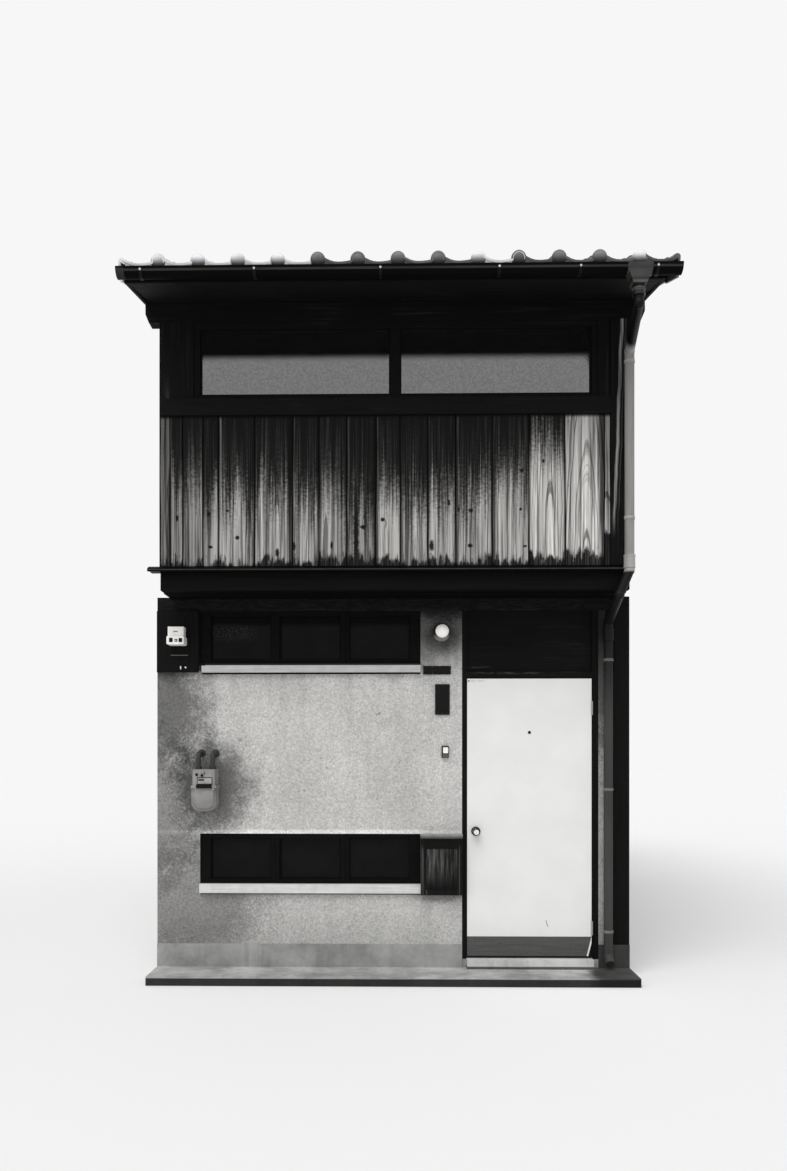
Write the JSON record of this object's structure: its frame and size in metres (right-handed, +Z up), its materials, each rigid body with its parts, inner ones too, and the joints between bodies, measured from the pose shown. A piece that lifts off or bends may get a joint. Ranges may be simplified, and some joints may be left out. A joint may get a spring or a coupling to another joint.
{
  "type": "machiya townhouse",
  "caption": "Narrow timber townhouse with a jettied boarded upper storey, plastered street front, tiled roof and a hinged entrance door.",
  "frame": {"origin": "on the ground, under the middle of the roof's plan", "axes": "-Y towards the street, +X to the right seen from the street, +Z up"},
  "size_m": [3.524, 8.4086, 6.5037],
  "materials": {
    "concrete": "float-finished concrete, stained",
    "plaster": "rough-cast plaster",
    "dark_timber": "black-stained timber",
    "weathered_boards": "weathered boards",
    "roof_tile": "smoked clay tile",
    "clear_glass": "glass",
    "frosted_glass": "frosted glass",
    "sill_metal": "mill finish, weathered",
    "rainwater_plastic": "weathered",
    "bracket_metal": "painted",
    "door_paint": "white paint",
    "door_metal": "dull",
    "meter_paint": "enamel, weathered",
    "lamp_glass": "opal",
    "black_plate": "gloss",
    "bell_plastic": "gloss"
  },
  "bodies": {
    "house": {"ground_slab": "concrete", "front_apron": "concrete", "base_skirting": "concrete", "door_step": "concrete", "left_party_wall": "plaster", "right_party_wall": "plaster", "rear_lower_wall": "plaster", "front_wall_panels": "plaster", "front_piers": "plaster", "door_side_strip": "plaster", "right_corner_post": "dark_timber", "head_beam": "dark_timber", "door_jambs": "dark_timber", "door_transom": "dark_timber", "hinge_frame_plates": "door_metal", "lower_window_frames": "dark_timber", "lower_window_glass": "clear_glass", "window_sills": "sill_metal", "shutter_box": "dark_timber", "meter_board": "dark_timber", "electric_meter": "meter_paint", "gas_meter": "meter_paint", "globe_lamp": "lamp_glass", "name_plates": "black_plate", "bell_button": "bell_plastic", "upper_floor": "dark_timber", "jetty_beam": "dark_timber", "jetty_soffit": "dark_timber", "ledge_flashing": "sill_metal", "upper_front_boards": "weathered_boards", "upper_posts": "dark_timber", "upper_sill_rail": "dark_timber", "upper_window_frames": "dark_timber", "upper_window_glass": "frosted_glass", "left_upper_wall": "weathered_boards", "right_upper_wall": "weathered_boards", "rear_upper_wall": "weathered_boards", "roof_beams": "dark_timber", "rafters": "dark_timber", "roof_boards": "dark_timber", "eave_boards": "dark_timber", "verge_boards": "dark_timber", "roof_tiles": "roof_tile", "eave_end_tiles": "roof_tile", "ridge_tiles": "roof_tile", "gutters": "rainwater_plastic", "rain_hoppers": "rainwater_plastic", "downpipes": "rainwater_plastic", "rainwater_brackets": "bracket_metal"},
    "door": {"door_leaf": "door_paint", "door_roses": "door_metal", "hinge_door_plates": "door_metal"},
    "knob": {"door_knob": "door_metal"}
  },
  "joints": [
    {"name": "door_swing", "type": "hinge", "parent": "house", "child": "door", "pos_m": [1.3925, -3.208, 1.132], "axis": [0, 0, 1], "range_deg": [0, 105]},
    {"name": "knob_turn", "type": "hinge", "parent": "door", "child": "knob", "pos_m": [0.561, -3.2, 1.038], "axis": [0, 1, 0], "range_deg": [-45, 45], "stiffness_Nm_per_rad": 0.4}
  ]
}
